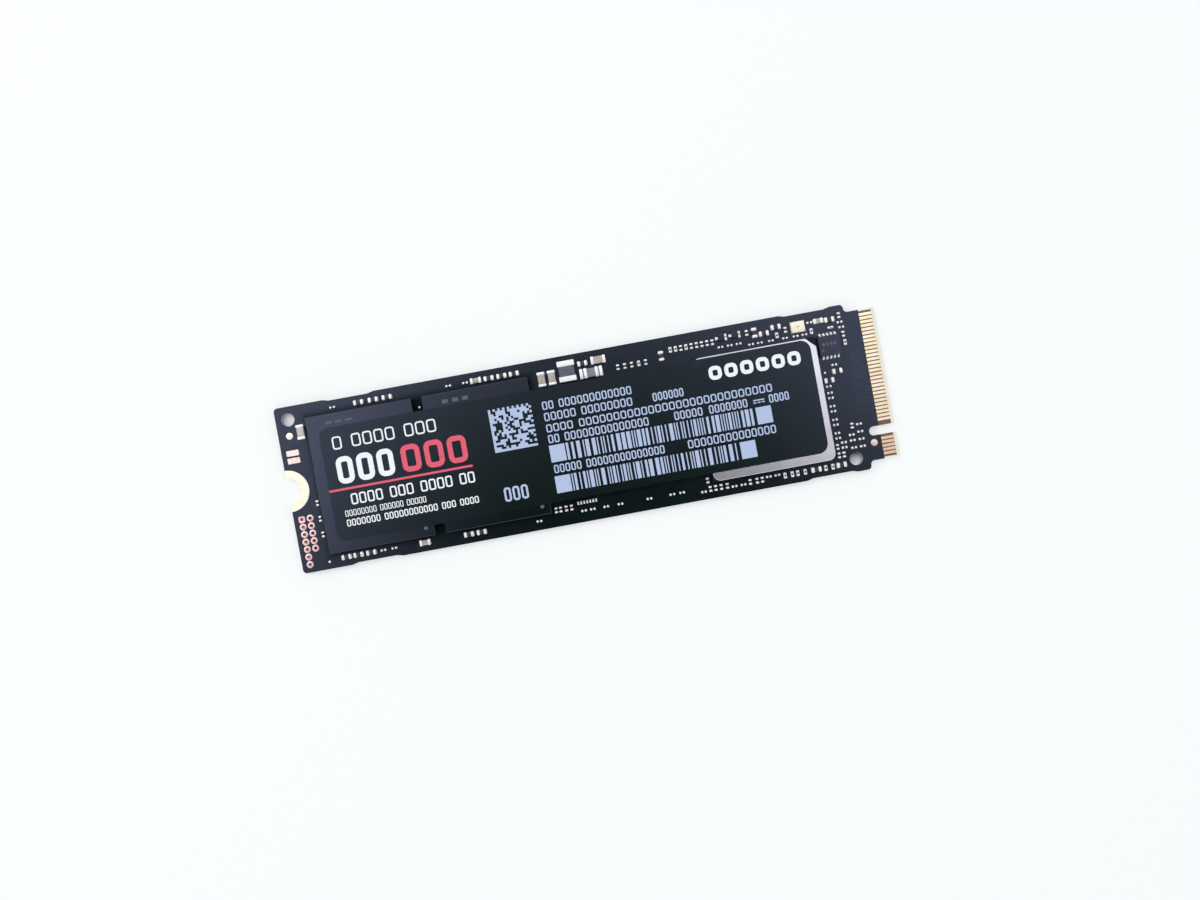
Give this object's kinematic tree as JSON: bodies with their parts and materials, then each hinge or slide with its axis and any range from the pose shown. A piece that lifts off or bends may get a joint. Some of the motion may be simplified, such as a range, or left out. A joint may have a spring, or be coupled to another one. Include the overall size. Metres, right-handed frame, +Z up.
{
  "type": "m.2 solid-state drive",
  "caption": "Slim plug-in solid-state drive card: black board with flash packages, a lidded controller, a film label, gold edge contacts with a key slot and a screw notch.",
  "frame": {"origin": "middle of the board's underside", "axes": "+X from the screw notch to the edge connector, +Z up through the component side, +Y across the board, away from the key slot"},
  "size_m": [0.08, 0.022, 0.0022],
  "materials": {
    "solder_mask": "satin black solder mask over laminate",
    "gold": "thin gold plating, bright",
    "mould_compound": "fine-grained black mould compound",
    "nickel": "satin nickel plating",
    "carrier_laminate": "dark green package laminate",
    "silicon": "bare silicon",
    "label_film": "black film with pale and red print",
    "tin": "bright tin and solder",
    "dark_ceramic": "dark chip ceramic",
    "brown_ceramic": "beige-brown capacitor ceramic",
    "ferrite": "grey moulded ferrite",
    "pale_gold": "pale gold crystal lid",
    "pale_ceramic": "pale crystal ceramic"
  },
  "bodies": {
    "root": {"circuit_board": "solder_mask", "gold_fingers_top": "gold", "gold_fingers_bottom": "gold", "board_notch_plating": "gold", "test_rings": "gold", "fiducials": "gold", "bare_pads": "gold", "flash_package_near": "mould_compound", "flash_package_far": "mould_compound", "flash_balls_near": "tin", "flash_balls_far": "tin", "memory_package": "mould_compound", "memory_balls": "tin", "controller_substrate": "carrier_laminate", "controller_die": "silicon", "controller_lid": "nickel", "controller_balls": "tin", "label": "label_film", "tiny_chip_bodies": "dark_ceramic", "tiny_chip_ends": "tin", "small_chip_bodies": "dark_ceramic", "small_chip_ends": "tin", "capacitor_bodies": "brown_ceramic", "capacitor_ends": "tin", "inductor_cores": "ferrite", "inductor_terminals": "tin", "transistor_bodies": "mould_compound", "transistor_leads": "tin", "supervisor_body": "mould_compound", "supervisor_leads": "tin", "regulator_body": "mould_compound", "regulator_leads": "tin", "crystal_base": "pale_ceramic", "crystal_lid": "pale_gold"}
  },
  "joints": []
}
